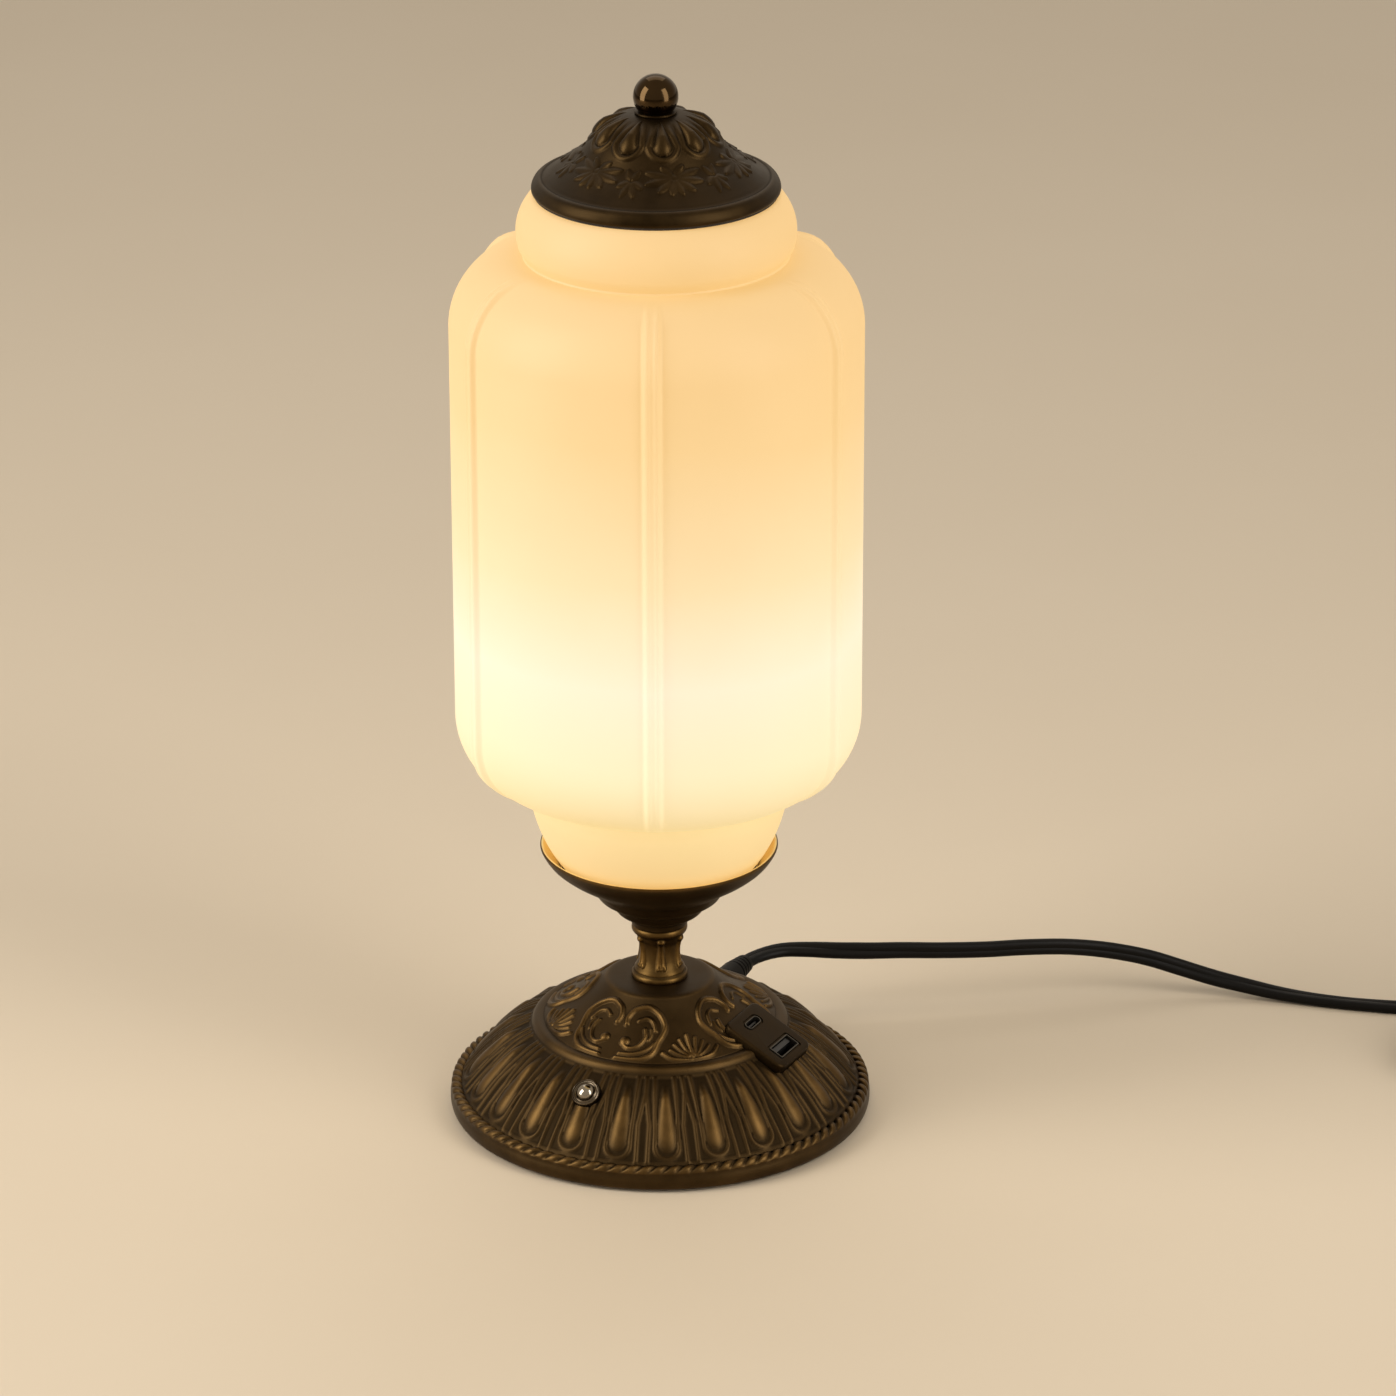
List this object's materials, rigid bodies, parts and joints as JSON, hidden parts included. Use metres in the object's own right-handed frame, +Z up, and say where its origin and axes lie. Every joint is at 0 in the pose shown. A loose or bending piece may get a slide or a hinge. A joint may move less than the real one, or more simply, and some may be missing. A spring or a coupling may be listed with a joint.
{
  "type": "table lamp",
  "caption": "Table lamp with a fluted bronze base, a turned stem and cup, a ribbed opal glass cylinder and a domed cap with a ball finial, a push button and charging ports.",
  "frame": {"origin": "on the table under the middle of the base", "axes": "+Z up, the push button faces -Y, the charging ports face +X and the lead leaves at +Y"},
  "size_m": [0.4404, 0.2837, 0.382],
  "materials": {
    "antique_bronze": "dark bronze with rubbed gold-brown edges",
    "brass": "warm satin brass",
    "steel": "plain plated steel",
    "polished_bronze": "polished dark bronze",
    "chrome": "bright plating",
    "cream_plastic": "matt",
    "white_plastic": "matt",
    "opal_bulb": "frosted",
    "opal_glass": "glossy opal",
    "felt": "felt",
    "foam": "closed-cell foam",
    "black_plastic": "moulded",
    "board": "circuit board",
    "black_lead": "smooth PVC",
    "tie_plastic": "coated wire"
  },
  "bodies": {
    "root": {"base_shell": "antique_bronze", "base_plate": "steel", "foam_pad": "foam", "plate_screws": "steel", "base_washer": "steel", "base_nut": "steel", "threaded_pipe": "steel", "stem": "brass", "cup": "brass", "cup_nut": "steel", "harp_saddle": "brass", "harp": "brass", "harp_stud": "brass", "lampholder_body": "cream_plastic", "lampholder_shell": "brass", "lampholder_contact": "brass", "cup_gasket": "felt", "button_body": "chrome", "button_nut": "steel", "usb_housing": "antique_bronze", "usb_a_shell": "steel", "usb_a_tongue": "white_plastic", "usb_c_shell": "steel", "usb_c_tongue": "black_plastic", "usb_board": "board", "driver_module": "black_plastic", "lamp_lead": "black_lead", "cord_gland": "black_lead", "cord": "black_lead", "cord_coil": "black_lead", "coil_tie": "tie_plastic", "plug_body": "black_plastic", "plug_pin_a": "steel", "plug_pin_b": "steel"},
    "button": {"button_cap": "chrome"},
    "bulb": {"bulb_contact": "steel", "bulb_cap": "steel", "bulb_body": "white_plastic", "bulb_globe": "opal_bulb"},
    "shade": {"shade": "opal_glass"},
    "cap": {"cap_gasket": "felt", "top_cap": "antique_bronze"},
    "finial": {"finial_washer": "brass", "finial_ball": "polished_bronze"}
  },
  "joints": [
    {"name": "button_push", "type": "slide", "parent": "root", "child": "button", "axis": [0, 0.62, -0.7846], "range_m": [0, 0.0015], "stiffness_N_per_m": 600, "springref_m": -0.001},
    {"name": "bulb_turn", "type": "hinge", "parent": "root", "child": "bulb", "pos_m": [0, 0, 0.11], "axis": [0, 0, 1], "continuous": true},
    {"name": "shade_lift", "type": "slide", "parent": "root", "child": "shade", "axis": [0, 0, 1], "range_m": [0, 0.285]},
    {"name": "cap_lift", "type": "slide", "parent": "shade", "child": "cap", "axis": [0, 0, 1], "range_m": [0, 0.06]},
    {"name": "finial_turn", "type": "hinge", "parent": "cap", "child": "finial", "pos_m": [0, 0, 0.3746], "axis": [0, 0, 1], "continuous": true}
  ]
}
